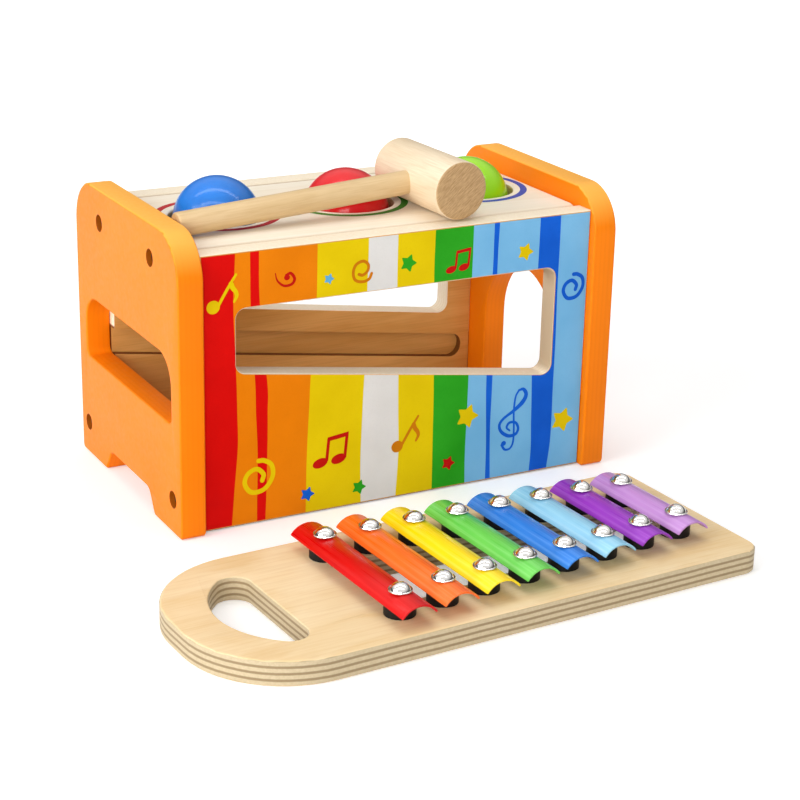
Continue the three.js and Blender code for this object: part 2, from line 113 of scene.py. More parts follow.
# How far the surface faces along an axis, and the same for either way along it
def normalAlong(tree, axis):
    return axisOf(tree, addNode(tree, "TexCoord").outputs["Normal"], axis)


def facing(tree, axis):
    return maths(tree, "ABSOLUTE", normalAlong(tree, axis))


# Nearly all of a noise's values lie in this span
noiseSpan = (0.3, 0.7)


def mottle(tree, value, colour, deep):
    return blendColours(tree, spread(tree, value, *noiseSpan), linear(colour), linear(deep))


def sheen(tree, value, smooth, rough):
    return spread(tree, value, *noiseSpan, smooth, rough)


def closeSurface(tree, sockets, bumps=()):
    shader = addNode(tree, "BsdfPrincipled", sockets)
    normal = None
    for height, distance in bumps:
        bump = addNode(tree, "Bump", {"Height": height, "Distance": distance})
        if normal:
            tree.links.new(normal, bump.inputs["Normal"])
        normal = bump.outputs[0]
    if normal:
        tree.links.new(normal, shader.inputs["Normal"])
    addNode(tree, "OutputMaterial", {"Surface": shader.outputs[0]})


# Grain: wide soft patches with fine fibres over them
def woodTone(tree, place, look):
    patches = noise(tree, place, look["patches"], 3, 0.55, 0.6)
    fibres = noise(tree, place, look["fibres"], 4, 0.6)
    tone = blendColours(tree, spread(tree, patches, 0.32, 0.68), linear(look["pale"]), linear(look["deep"]))
    share = spread(tree, fibres, 0.45, 0.78, 0, look["fibreShare"])
    return blendColours(tree, share, tone, linear(look["fibre"])), fibres


# Plies: dark layers between pale ones, counted from one face of the sheet
plyLook = {"wobble": 0.24, "lineSpan": (0.14, 0.26)}


def plyLines(tree, place, look):
    across = axisOf(tree, place, look["axis"])
    wobble = noise(tree, place, (45, 45, 45), 2)
    level = maths(tree, "DIVIDE", maths(tree, "SUBTRACT", across, look["plyStart"]), look["plyStep"])
    level = maths(tree, "ADD", level, maths(tree, "MULTIPLY", wobble, plyLook["wobble"]))
    saw = maths(tree, "FRACT", maths(tree, "SUBTRACT", level, plyLook["wobble"] / 2))
    middle = maths(tree, "ABSOLUTE", maths(tree, "SUBTRACT", saw, 0.5))
    return spread(tree, middle, *plyLook["lineSpan"], 1, 0)


def makeWood(name, look):
    material, tree = newMaterial(name)
    place = placeOf(tree, look["turn"])
    colour, fibres = woodTone(tree, place, look)
    endGrain = noise(tree, place, look["endGrain"], 3, 0.6)
    share = spread(tree, endGrain, 0.35, 0.65)
    endGrainAndShade = blendColours(tree, share, linear(look["endPale"]), linear(look["endDeep"]))
    atEnd = spread(tree, facing(tree, look["lengthways"]), 0.55, 0.8)
    colour = blendColours(tree, atEnd, colour, endGrainAndShade)
    # painted shade: faces turned along the sideways axis, such as the top board's rounded front edge, are darkened
    shadedSide = spread(tree, facing(tree, look["sideways"]), 0.25, 0.75, 0, look["sideShadeShare"])
    colour = blendColours(tree, shadedSide, colour, linear(look["sideShade"]))
    # the wood is darker beyond a seam, and the seam itself is drawn in the side shade colour as a painted shadow
    # line
    if "seam" in look:
        past = maths(tree, "SUBTRACT", axisOf(tree, place, look["sideways"]), look["seam"])
        beyond = spread(tree, past, -0.0002, 0.0002, 0, 0.6)
        colour = blendColours(tree, beyond, colour, linear(look["pastSeam"]))
        line = spread(tree, maths(tree, "ABSOLUTE", past), 0.0003, 0.0007, 0.75, 0)
        colour = blendColours(tree, line, colour, linear(look["sideShade"]))
    roughness = sheen(tree, fibres, look["smooth"], look["rough"])
    sockets = {"Base Color": colour, "Roughness": roughness, "Specular IOR Level": 0.25}
    closeSurface(tree, sockets, [(fibres, 0.00005)])
    return material


def makePlywood(name, look):
    material, tree = newMaterial(name)
    place = placeOf(tree, look["turn"])
    face, fibres = woodTone(tree, place, look)
    lines = plyLines(tree, place, look)
    grit = noise(tree, place, (700, 700, 700), 3, 0.6)
    pale = mottle(tree, grit, look["edgePale"], look["edgeMid"])
    edge = blendColours(tree, maths(tree, "MULTIPLY", lines, look["lineShare"]), pale, linear(look["edgeDark"]))
    # painted shade: edges facing left, such as the window's right reveal, are darkened
    if "endGrainAndShade" in look:
        toLeft = normalAlong(tree, "X")
        edge = blendColours(tree, spread(tree, toLeft, -0.3, -0.9), edge, linear(look["endGrainAndShade"]))
    atEdge = spread(tree, facing(tree, look["axis"]), *look["edgeSpan"], 1, 0)
    colour = blendColours(tree, atEdge, face, edge)
    # painted shade: edge faces below the groove's top, the groove's walls, are darkened where the top board shades
    # them
    if "grooveTop" in look:
        fall = maths(tree, "MULTIPLY", axisOf(tree, place, "X"), look["grooveSlope"])
        level = maths(tree, "ADD", axisOf(tree, place, "Z"), fall)
        grooveShadeShare = spread(tree, level, look["grooveTop"], look["grooveTop"] - 0.001)
        colour = blendColours(tree, maths(tree, "MULTIPLY", grooveShadeShare, atEdge), colour, linear(look["grooveShade"]))
    roughness = sheen(tree, fibres, look["smooth"], look["rough"])
    relief = maths(tree, "MULTIPLY", maths(tree, "MULTIPLY", lines, atEdge), -look["lineShare"])
    sockets = {"Base Color": colour, "Roughness": roughness, "Specular IOR Level": 0.2}
    closeSurface(tree, sockets, [(fibres, 0.00003), (relief, 0.00006)])
    return material


# Paint over plywood: soft clouding, a fine skin, and plies showing faintly on the edges
def makePanelPaint(name, look):
    material, tree = newMaterial(name)
    place = placeOf(tree)
    cloud = noise(tree, place, (14, 14, 14), 3, 0.5)
    skin = noise(tree, place, (420, 420, 420), 2, 0.5)
    face = mottle(tree, cloud, look["colour"], look["deep"])
    lines = plyLines(tree, place, look)
    atEdge = spread(tree, facing(tree, look["axis"]), 0.3, 0.55, 1, 0)
    share = maths(tree, "MULTIPLY", maths(tree, "MULTIPLY", lines, atEdge), look["plyShare"])
    colour = blendColours(tree, share, face, linear(look["plyShade"]))
    # the rounded edges are rubbed a little paler
    tilt = maths(tree, "SUBTRACT", facing(tree, look["axis"]), 0.62)
    bend = spread(tree, maths(tree, "ABSOLUTE", tilt), 0.1, 0.34, 1, 0)
    wear = spread(tree, noise(tree, place, (160, 160, 160), 4, 0.65), 0.45, 0.7)
    rub = maths(tree, "MULTIPLY", maths(tree, "MULTIPLY", bend, wear), look["rubShare"])
    colour = blendColours(tree, rub, colour, linear(look["rub"]))
    # their upper faces catch more light
    upward = normalAlong(tree, "Z")
    onTop = spread(tree, axisOf(tree, place, "Z"), *look["topSpan"])
    lightened = maths(tree, "MULTIPLY", spread(tree, upward, 0.2, 0.95), onTop)
    colour = blendColours(tree, lightened, colour, linear(look["upward"]))
    # painted shade: the walls of the screw holes are darkened with a dark brown
    flat = addNode(tree, "VectorMath", {0: place, 1: (0, 1, 1)}, operation="MULTIPLY").outputs[0]
    for centre in look["holes"]:
        holeShade = spread(tree, distance(tree, flat, (0, centre.y, centre.z)), *look["holeSpan"], 1, 0)
        colour = blendColours(tree, holeShade, colour, linear(look["hole"]))
    roughness = sheen(tree, skin, look["smooth"], look["rough"])
    sockets = {"Base Color": colour, "Roughness": roughness, "Specular IOR Level": 0.12}
    relief = maths(tree, "MULTIPLY", share, -1)
    closeSurface(tree, sockets, [(skin, 0.00003), (relief, 0.00004)])
    return material


# Ink on wood: an even colour with fine specks where the wood shows through
def makeInk(name, code, deep):
    material, tree = newMaterial(name)
    place = placeOf(tree)
    cloud = noise(tree, place, (30, 30, 30), 3, 0.5)
    specks = noise(tree, place, (1100, 1100, 1100), 3, 0.65)
    colour = mottle(tree, cloud, code, deep)
    colour = blendColours(tree, spread(tree, specks, 0.5, 0.8, 0, 0.5), colour, linear(deep))
    roughness = sheen(tree, specks, 0.42, 0.58)
    sockets = {"Base Color": colour, "Roughness": roughness, "Specular IOR Level": 0.06}
    closeSurface(tree, sockets, [(specks, 0.00002)])
    return material


def makeBallPaint(name, look):
    material, tree = newMaterial(name)
    place = placeOf(tree)
    cloud = noise(tree, place, (55, 55, 55), 3, 0.5)
    skin = noise(tree, place, (330, 330, 330), 2, 0.5)
    colour = mottle(tree, cloud, look["colour"], look["deep"])
    roughness = sheen(tree, skin, look["smooth"], look["rough"])
    sockets = {
        "Base Color": colour, "Roughness": roughness, "Specular IOR Level": 0.12,
        "Coat Weight": 0.5, "Coat Roughness": 0.14,
    }
    closeSurface(tree, sockets, [(skin, 0.00008)])
    return material


# Bar paint: drawn metal shows as streaks along the bar
def makeBarPaint(name, look):
    material, tree = newMaterial(name)
    place = placeOf(tree)
    streaks = noise(tree, place, (700, 9, 700), 3, 0.6)
    cloud = noise(tree, place, (90, 40, 90), 2, 0.5)
    colour = mottle(tree, cloud, look["colour"], look["deep"])
    share = spread(tree, streaks, 0.5, 0.78, 0, 0.45)
    colour = blendColours(tree, share, colour, linear(look["streak"]))
    roughness = sheen(tree, streaks, 0.24, 0.36)
    sockets = {
        "Base Color": colour, "Roughness": roughness, "Specular IOR Level": 0.16,
        "Coat Weight": 0.14, "Coat Roughness": 0.16,
    }
    closeSurface(tree, sockets, [(streaks, 0.00002)])
    return material


def makeMetal(name, look):
    material, tree = newMaterial(name)
    place = placeOf(tree)
    smudge = noise(tree, place, (260, 260, 260), 3, 0.6)
    colour = mottle(tree, smudge, look["colour"], look["deep"])
    roughness = spread(tree, smudge, 0.35, 0.75, look["smooth"], look["rough"])
    closeSurface(tree, {"Base Color": colour, "Metallic": 1.0, "Roughness": roughness})
    return material


def makeRubber(name, look):
    material, tree = newMaterial(name)
    place = placeOf(tree)
    bloom = noise(tree, place, (140, 140, 140), 3, 0.6)
    pores = noise(tree, place, (1500, 1500, 1500), 2, 0.6)
    colour = blendColours(tree, spread(tree, bloom, 0.4, 0.75), linear(look["colour"]), linear(look["bloom"]))
    roughness = sheen(tree, bloom, look["smooth"], look["rough"])
    sockets = {"Base Color": colour, "Roughness": roughness, "Specular IOR Level": 0.25}
    closeSurface(tree, sockets, [(pores, 0.00003)])
    return material


# Geometry helpers

# A CAD node keeps its mesh; its narrow bevels are shaded as one rounded edge, up to an angle in degrees
softLook = {"weld": 0.000002, "crease": 50}


def makeSoftEdges(look):
    group = bpy.data.node_groups.new("softEdges", "GeometryNodeTree")
    group.interface.new_socket("Geometry", in_out="INPUT", socket_type="NodeSocketGeometry")
    group.interface.new_socket("Geometry", in_out="OUTPUT", socket_type="NodeSocketGeometry")
    last = group.nodes.new("NodeGroupInput").outputs[0]

    def chain(kind, **settings):
        node = group.nodes.new("GeometryNode" + kind)
        for key, value in settings.items():
            setattr(node, key, value)
        group.links.new(last, node.inputs[0])
        return node

    weld = chain("MergeByDistance")
    weld.inputs["Distance"].default_value = look["weld"]
    last = weld.outputs[0]
    for name in ("custom_normal", "sharp_edge", "sharp_face"):
        strip = chain("RemoveAttribute")
        strip.inputs["Name"].default_value = name
        last = strip.outputs[0]
    last = chain("SetShadeSmooth", domain="FACE").outputs[0]
    angle = group.nodes.new("GeometryNodeInputMeshEdgeAngle")
    compare = group.nodes.new("FunctionNodeCompare")
    compare.inputs[1].default_value = radians(look["crease"])
    group.links.new(angle.outputs[0], compare.inputs[0])
    crease = chain("SetShadeSmooth", domain="EDGE")
    group.links.new(compare.outputs[0], crease.inputs["Selection"])
    crease.inputs["Shade Smooth"].default_value = False
    group.links.new(crease.outputs[0], group.nodes.new("NodeGroupOutput").inputs[0])
    return group


softEdges = makeSoftEdges(softLook)


def dress(nodeName, material):
    node = nodes[nodeName]
    for slot in node.material_slots:
        slot.material = material
    node.modifiers.new("softEdges", "NODES").node_group = softEdges
    weighted = node.modifiers.new("weighted", "WEIGHTED_NORMAL")
    weighted.keep_sharp = True


# A mesh of the scene's own, which rides on a body and may stand for a CAD node
def addPiece(name, points, faces, materials, body, slot, replaced=None, place=None, faceMaterials=None, crease=40):
    mesh = bpy.data.meshes.new(name)
    mesh.from_pydata([tuple(p) for p in points], [], faces)
    for material in materials:
        mesh.materials.append(material)
    if faceMaterials:
        mesh.polygons.foreach_set("material_index", faceMaterials)
    mesh.shade_smooth()
    mesh.set_sharp_from_angle(angle=radians(crease))
    piece = bpy.data.objects.new(name, mesh)
    bpy.context.scene.collection.objects.link(piece)
    if place:
        piece.matrix_world = place
    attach(piece, body)
    if replaced:
        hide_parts(replaced)
    return piece


# A turned shape from [radius, height] points that run upwards
def turnedShape(profile, sides):
    points, faces, rings = [], [], []
    for radius, height in profile:
        count = 1 if radius == 0 else sides
        rings.append([len(points) + k for k in range(count)])
        for k in range(count):
            angle = 2 * pi * k / sides
            points.append((radius * cos(angle), radius * sin(angle), height))
    for low, high in zip(rings, rings[1:]):
        for k in range(sides):
            after = (k + 1) % sides
            if len(low) == 1:
                faces.append((low[0], high[after], high[k]))
            elif len(high) == 1:
                faces.append((low[k], low[after], high[0]))
            else:
                faces.append((low[k], low[after], high[after], high[k]))
    return points, faces


def arcPoints(centreRadius, centreHeight, rounding, start, end, steps):
    angles = [radians(start + (end - start) * i / steps) for i in range(steps + 1)]
    return [(centreRadius + rounding * cos(a), centreHeight + rounding * sin(a)) for a in angles]


# A shape through closed rings of points, with both ends closed
def loftShape(rings):
    count = len(rings[0])
    points = [p for ring in rings for p in ring]
    faces = [tuple(reversed(range(count)))]
    for level in range(len(rings) - 1):
        for k in range(count):
            after = (k + 1) % count
            low, high = level * count, (level + 1) * count
            faces.append((low + k, low + after, high + after, high + k))
    faces.append(tuple(range((len(rings) - 1) * count, len(rings) * count)))
    return points, faces


# A place whose Z runs along a direction
def frameAlong(origin, along, up):
    along = along.normalized()
    across = up.cross(along).normalized()
    up = along.cross(across)
    return Matrix.Translation(origin) @ Matrix((up, across, along)).transposed().to_4x4()


# A smooth line through all the points
def smoothLine(points, perSpan):
    ends = [2 * points[0] - points[1], *points, 2 * points[-1] - points[-2]]
    line = []
    for a, b, c, d in zip(ends, ends[1:], ends[2:], ends[3:]):
        for step in range(perSpan):
            t = step / perSpan
            bend, twist = 2 * a - 5 * b + 4 * c - d, 3 * b - a - 3 * c + d
            line.append(b + (c - a) * (t / 2) + bend * (t * t / 2) + twist * (t ** 3 / 2))
    return line + [points[-1]]


# Bench panels
screwBoxes = [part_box(f"bench_screw_left_{number}") for number in range(1, 5)]
orangeLook = {
    "colour": "#FB8409", "deep": "#F67E04", "plyShade": "#CE5A00", "plyShare": 0.08,
    # the hole colour is painted shade for the walls of the screw holes
    "rub": "#FF9A2A", "rubShare": 0.3, "upward": "#FDB44A", "hole": "#A2520E", "smooth": 0.34, "rough": 0.46,
    "axis": "X", "plyStart": leftLow.x, "plyStep": 0.0027, "topSpan": (0.11, 0.12),
    "holes": [(low + high) / 2 for low, high in screwBoxes], "holeSpan": (0.00455, 0.0047),
}
dress("left_end_panel", makePanelPaint("orangePaintLeft", orangeLook))
dress("right_end_panel", makePanelPaint("orangePaintRight", {**orangeLook, "plyStart": rightLow.x}))

birchLook = {
    "turn": (0, 0, 0), "patches": (9, 60, 60), "fibres": (30, 1100, 1100), "fibreShare": 0.35,
    "pale": "#E0A860", "deep": "#CE9248", "fibre": "#A8702F", "smooth": 0.45, "rough": 0.6,
    "edgePale": "#FBEFDA", "edgeMid": "#F4E4C8", "edgeDark": "#D0B48A", "lineShare": 0.2, "edgeSpan": (0.75, 0.95),
}
# The groove and the window's sill slope alike; the groove's height is at the bench's middle
grooveTilt, grooveHeight = 8.3, 0.0575
grooveSlope = tan(radians(grooveTilt))
panelLook = {
    **birchLook, "axis": "Y", "plyStep": 0.0024,
    # the groove colour is painted shade on the groove's walls
    "grooveSlope": grooveSlope, "grooveTop": grooveHeight + grooveSlope * benchMiddle.x, "grooveShade": "#7A4A1C",
}
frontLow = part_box("front_panel")[0]
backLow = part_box("back_panel")[0]
# the front panel's left-facing edges get a painted shade colour
dress("front_panel", makePlywood("frontPlywood", {**panelLook, "plyStart": frontLow.y, "endGrainAndShade": "#BCA88C"}))
dress("back_panel", makePlywood("backPlywood", {**panelLook, "plyStart": backLow.y}))

topBoardLook = {
    "turn": (0, 0, 0), "lengthways": "X", "patches": (6, 45, 45), "fibres": (22, 900, 900), "fibreShare": 0.3,
    "pale": "#FAF0DE", "deep": "#F4E6CE", "fibre": "#E0C9A2", "smooth": 0.4, "rough": 0.55,
    "endGrain": (900, 260, 900), "endPale": "#D8B884", "endDeep": "#B98F5A",
    # the side colour is painted shade on the board's front edge and on the seam line
    "sideways": "Y", "sideShade": "#A87B42", "sideShadeShare": 0.65,
    "seam": benchMiddle.y + 0.0488, "pastSeam": "#E6D3B4",
}
dress("top_board", makeWood("topBoardWood", topBoardLook))

rubberLook = {"colour": "#070707", "bloom": "#161617", "smooth": 0.4, "rough": 0.6}
blackRubber = makeRubber("blackRubber", rubberLook)
dress("ball_grip_sheet", blackRubber)

screwLook = {"colour": "#5A4030", "deep": "#33231A", "smooth": 0.35, "rough": 0.6}
screwSteel = makeMetal("bronzedScrew", screwLook)
for side in ("left", "right"):
    for number in range(1, 5):
        dress(f"bench_screw_{side}_{number}", screwSteel)
print("bench panels and screws dressed")

# Coloured stripes on the front panel: where each begins, in mm from the bench's middle, at eight heights
printLook = {
    "lift": 0.06, "heights": (1.4, 15, 30, 45, 60, 75, 115, 143.4), "wave": 0.1,
    "inks": {
        "red": ("#DC0A06", "#CC0504"), "orange": ("#EA8206", "#DE7802"), "yellow": ("#E6CA06", "#DABC00"),
        "white": ("#E2E0DD", "#D6D4D0"), "green": ("#2FA622", "#239516"), "lightBlue": ("#80BEE6", "#6FB0DC"),
        "blue": ("#1765DA", "#0E56C4"),
    },
    "begins": [
        ("red", (-110.8,) * 8),
        ("orange", (-95.8, -94.6, -93.3, -92.3, -92.4, -92.6, -94.1, -93.2)),
        ("red", (-81.8, -81.7, -81.6, -81.6, -82.2, -82.7, -85.0, -85.2)),
        ("orange", (-77.2, -76.8, -76.3, -75.9, -76.0, -76.1, -80.1, -80.4)),
        ("yellow", (-54.7, -54.4, -54.1, -53.7, -52.9, -52.1, -49.2, -49.0)),
        ("white", (-22.7, -23.1, -23.3, -22.8, -22.2, -21.7, -21.0, -20.5)),
        ("yellow", (-2.2, -1.6, -1.1, -1.5, -2.0, -2.4, -4.0, -3.8)),
        ("green", (19.4, 19.4, 19.4, 19.2, 18.9, 18.7, 17.5, 17.6)),
        ("lightBlue", (39.6, 39.4, 39.4, 39.6, 39.9, 39.9, 39.9, 39.9)),
        ("blue", (52.5, 52.3, 51.8, 51.3, 50.9, 51.1, 52.1, 52.4)),
        ("lightBlue", (55.3, 54.7, 54.4, 54.5, 54.5, 54.7, 54.9, 55.5)),
        ("blue", (79.9, 80.7, 80.1, 79.5, 79.1, 79.3, 80.0, 80.0)),
        ("lightBlue", (91.3, 92.8, 93.0, 93.0, 93.1, 93.0, 92.7, 92.8)),
    ],
    "end": (110.8,) * 8,
    "windowLeft": -92.75, "windowRight": 90.75, "windowTop": 115.2, "sill": 68.8, "sillTilt": grooveTilt,
    "windowRadius": 5.5, "windowBevel": 0.6, "cornerSteps": 7, "weld": 1e-7,
}
inks = {name: makeInk("ink" + name[0].upper() + name[1:], *tones) for name, tones in printLook["inks"].items()}


# How far a print lies in front of the bench's middle, in mm
def printFace(lift):
    return (frontLow.y - benchMiddle.y) / mm - lift


# The window's outline on the panel's face, which is wider than the hole by its bevel
def windowOutline(look):
    bevel, slope = look["windowBevel"], tan(radians(look["sillTilt"]))
    left, right, top = look["windowLeft"] - bevel, look["windowRight"] + bevel, look["windowTop"] + bevel
    drop = bevel / cos(radians(look["sillTilt"]))
    sillLeft, sillRight = (look["sill"] - slope * x - drop for x in (left, right))
    corners = [Vector(p) for p in ((left, sillLeft), (right, sillRight), (right, top), (left, top))]
    radius = look["windowRadius"] + bevel
    outline = []
    for i, corner in enumerate(corners):
        before = (corners[i - 1] - corner).normalized()
        after = (corners[(i + 1) % 4] - corner).normalized()
        half = acos(before.dot(after)) / 2
        centre = corner + (before + after).normalized() * (radius / sin(half))
        start = corner + before * (radius / tan(half)) - centre
        sweep = pi - 2 * half
        for step in range(look["cornerSteps"] + 1):
            angle = sweep * step / look["cornerSteps"]
            outline.append(centre + Matrix.Rotation(angle, 2) @ start)
    return outline


# The stripes are laid as strips, cut along the window's outline and cleared inside it
def buildPrint(look):
    edges = [x for ink, x in look["begins"]] + [look["end"]]
    lines = []
    for number, xs in enumerate(edges):
        line = smoothLine([Vector(p) for p in zip(xs, look["heights"])], 6)
        wave = look["wave"] if 0 < number < len(edges) - 1 else 0
        lines.append([Vector((p.x + wave * sin(0.13 * p.y + 1.9 * number), p.y)) for p in line])
    face = printFace(look["lift"])
    made = bmesh.new()
    names = list(look["inks"])
    for number, (ink, xs) in enumerate(look["begins"]):
        for low in range(len(lines[0]) - 1):
            left, right = lines[number], lines[number + 1]
            loop = (left[low], right[low], right[low + 1], left[low + 1])
            quad = made.faces.new([made.verts.new(onBench(p.x, face, p.y)) for p in loop])
            quad.material_index = names.index(ink)
    outline = windowOutline(look)
    for here, there in zip(outline, outline[1:] + outline[:1]):
        along = there - here
        normal = Vector((along.y, 0, -along.x))
        everything = made.verts[:] + made.edges[:] + made.faces[:]
        spot = onBench(here.x, face, here.y)
        bmesh.ops.bisect_plane(made, geom=everything, dist=look["weld"], plane_co=spot, plane_no=normal)
    inside = []
    for part in made.faces:
        centre = (part.calc_center_median() - benchMiddle) / mm
        spot = Vector((centre.x, centre.z))
        if all((b - a).cross(spot - a) > 0 for a, b in zip(outline, outline[1:] + outline[:1])):
            inside.append(part)
    bmesh.ops.delete(made, geom=inside, context="FACES")
    bmesh.ops.remove_doubles(made, verts=made.verts[:], dist=look["weld"])
    made.verts.index_update()
    points = [v.co.copy() for v in made.verts]
    faces = [tuple(v.index for v in f.verts) for f in made.faces]
    indices = [f.material_index for f in made.faces]
    made.free()
    used = [inks[name] for name in names]
    addPiece("frontPrint", points, faces, used, "bench", "printed_plywood", faceMaterials=indices)


buildPrint(printLook)
print("stripes printed on the front panel")


# Printed figures: stars, notes, curls and a clef, each made of flat outlines in mm
strokeLook = {"ovalSides": 28, "capSteps": 6}
starLook = {"waist": 0.275, "lean": 22, "tipCut": 0.26, "waistCut": 0.1, "cutSteps": 5}


def oval(centre, wide, high, turn=0):
    spin = Matrix.Rotation(radians(turn), 2)
    sides = strokeLook["ovalSides"]
    angles = [2 * pi * k / sides for k in range(sides)]
    return [Vector(centre) + spin @ Vector((wide / 2 * cos(a), high / 2 * sin(a))) for a in angles]


# A stroke along points, with its widths spread evenly over it and round ends
def stroke(route, widths, perSpan=8):
    line = smoothLine([Vector(p) for p in route], perSpan)
    last = len(line) - 1
    left, right, ends = [], [], []
    for i, point in enumerate(line):
        ahead = (line[min(i + 1, last)] - line[max(i - 1, 0)]).normalized()
        spot = i / last * (len(widths) - 1)
        low = min(int(spot), len(widths) - 2)
        half = (widths[low] + (widths[low + 1] - widths[low]) * (spot - low)) / 2
        across = Vector((-ahead.y, ahead.x)) * half
        left.append(point + across)
        right.append(point - across)
        if i in (0, last):
            ends.append((point, across, ahead * half))
    steps = strokeLook["capSteps"]
    turns = [pi * k / steps for k in range(1, steps)]
    (tail, tailAcross, tailAhead), (tip, tipAcross, tipAhead) = ends
    tipCap = [tip - tipAcross * cos(a) + tipAhead * sin(a) for a in turns]
    tailCap = [tail + tailAcross * cos(a) - tailAhead * sin(a) for a in turns]
    return right + tipCap + left[::-1] + tailCap


# A leaning star with rounded tips and waists
def starShape(size):
    tips = []
    for k in range(10):
        reach = size / 2 if k % 2 == 0 else size * starLook["waist"]
        angle = pi * k / 5 - radians(starLook["lean"])
        tips.append(Vector((-sin(angle), cos(angle))) * reach)
    loop = []
    for k, tip in enumerate(tips):
        cut = starLook["tipCut"] if k % 2 == 0 else starLook["waistCut"]
        start, end = tip.lerp(tips[k - 1], cut), tip.lerp(tips[(k + 1) % 10], cut)
        for step in range(starLook["cutSteps"] + 1):
            t = step / starLook["cutSteps"]
            loop.append(start * (1 - t) ** 2 + tip * (2 * t * (1 - t)) + end * t * t)
    return [loop]


def curlShape(size, width):
    route = (
        (0.09, -0.15), (0.13, 0.05), (-0.1, 0.25), (-0.39, 0.12), (-0.48, -0.18), (-0.26, -0.48), (0.16, -0.44),
        (0.43, -0.08), (0.4, 0.3), (0.16, 0.48), (-0.03, 0.5),
    )
    return [stroke([Vector(p) * size for p in route], (width, width))]


def noteShape(headWide, headHigh):
    head = oval((-9.0, -5.8), headWide, headHigh, 15)
    stem = stroke(((-6.4, -5.4), (-1.6, 2.4), (3.1, 9.4)), (1.6, 1.6, 1.3))
    flag = stroke(((0.5, 5.0), (1.4, 2.8), (2.9, 0.8), (3.4, -1.5), (2.1, -4.2)), (2.6, 2.4, 2.0, 1.2))
    return [head, stem, flag]


def pairShape(size):
    parts = []
    first, second = ((-8.4, -7.1), (-4.7, -6.2), (-3.6, 5.4)), ((2.1, -6.3), (5.7, -5.6), (6.9, 6.9))
    for head, foot, top in (first, second):
        parts.append(oval(head, 8.6, 5.2, 14))
        parts.append(stroke((foot, top), (1.7, 1.7)))
    parts.append([Vector(p) for p in ((-4.4, 4.1), (7.6, 5.5), (7.8, 7.9), (-4.2, 6.4))])
    return [[Vector(p) * size for p in loop] for loop in parts]


def clefShape():
    body = (
        (-1.0, -4.2), (-3.1, -2.1), (-1.4, 0.4), (2.4, -0.1), (4.2, -3.7), (2.7, -6.7), (-1.8, -7.1), (-6.4, -4.0),
        (-7.7, 0.1), (-5.0, 3.5), (1.2, 7.1), (6.4, 11.2), (8.3, 15.2), (6.4, 18.4), (3.5, 18.1),
    )
    stem = (
        (3.7, 18.2), (1.7, 14.4), (1.0, 6.3), (1.5, -3.7), (1.3, -11.1), (-0.5, -14.5), (-3.7, -14.7), (-5.8, -11.8),
    )
    return [
        stroke(body, (0.9, 1.5, 1.5, 1.7, 2.0, 1.7, 1.6, 2.7, 2.2, 1.2)),
        stroke(stem, (1.2, 1.2, 1.2, 1.2, 1.5)), oval((-4.6, -11.0), 3.0, 2.8),
    ]


def tailShape():
    route = ((-5.7, 3.4), (-4.6, -0.4), (-1.1, -3.4), (3.2, -3.1), (4.7, -0.4), (2.6, 2.5), (0.2, 1.8))
    return [stroke(route, (0.5, 1.3, 1.6, 1.4)), oval((0.6, 0.6), 3.2, 2.9)]


def loopShape():
    route = (
        (-1.9, -0.9), (0.4, -1.5), (3.0, 0.4), (3.3, 3.6), (0.4, 5.7), (-3.6, 4.2), (-5.1, 0.2), (-3.9, -3.6),
        (0.0, -5.0), (3.8, -4.0), (5.3, -1.2),
    )
    return [stroke(route, (1.6, 1.6))]


figureLook = {
    "lift": 0.1, "layer": 0.004,
    "inks": {"orange": ("#CE7A0C", "#C27004"), "red": ("#C4140C", "#B40C06"), "lightBlue": ("#62AEDA", "#56A0CC")},
    # name, ink, x and z from the bench's middle, outlines
    "figures": [
        ("printNoteYellow", "yellow", -95.8, 123.6, noteShape(7.0, 6.8)),
        ("printCurlRed", "red", -66.1, 127.7, tailShape()),
        ("printStarLightBlue", "lightBlue", -42.5, 124.8, starShape(6.2)),
        ("printCurlOrange", "orange", -24.0, 126.1, loopShape()),
        ("printStarGreen", "green", 2.2, 127.8, starShape(10.2)),
        ("printNotesRed", "red", 33.2, 126.5, pairShape(0.72)),
        ("printStarYellow", "yellow", 71.7, 125.9, starShape(10.4)),
        ("printCurlBlue", "blue", 102.8, 103.6, curlShape(13.2, 2.1)),
        ("printCurlYellow", "yellow", -80.5, 25.7, curlShape(16.8, 2.5)),
        ("printStarBlue", "blue", -53.7, 11.2, starShape(8.8)),
        ("printNotesRedLow", "red", -38.1, 34.1, pairShape(1)),
        ("printStarGreenLow", "green", -24.0, 10.0, starShape(8.9)),
        ("printNoteOrange", "orange", 7.1, 34.7, noteShape(6.8, 6.4)),
        ("printStarYellowLow", "yellow", 39.9, 39.3, starShape(14.6)),
        ("printStarRed", "red", 29.1, 14.4, starShape(8.8)),
        ("printClefBlue", "blue", 67.8, 31.1, clefShape()),
        ("printStarYellowEnd", "yellow", 99.9, 28.0, starShape(15)),
    ],
}


# Each outline of a figure lies a little in front of the one before
def buildFigures(look):
    face = printFace(look["lift"])
    ownInks = {name: makeInk("figureInk" + name.capitalize(), *tones) for name, tones in look["inks"].items()}
    figureInks = {**inks, **ownInks}
    for name, ink, x, z, outlines in look["figures"]:
        points, faces = [], []
        for layer, loop in enumerate(outlines):
            faces.append(tuple(range(len(points), len(points) + len(loop))))
            points += [onBench(x + spot.x, face - look["layer"] * layer, z + spot.y) for spot in loop]
        addPiece(name, points, faces, [figureInks[ink]], "bench", "printed_plywood")


buildFigures(figureLook)
print("figures printed on the front panel")

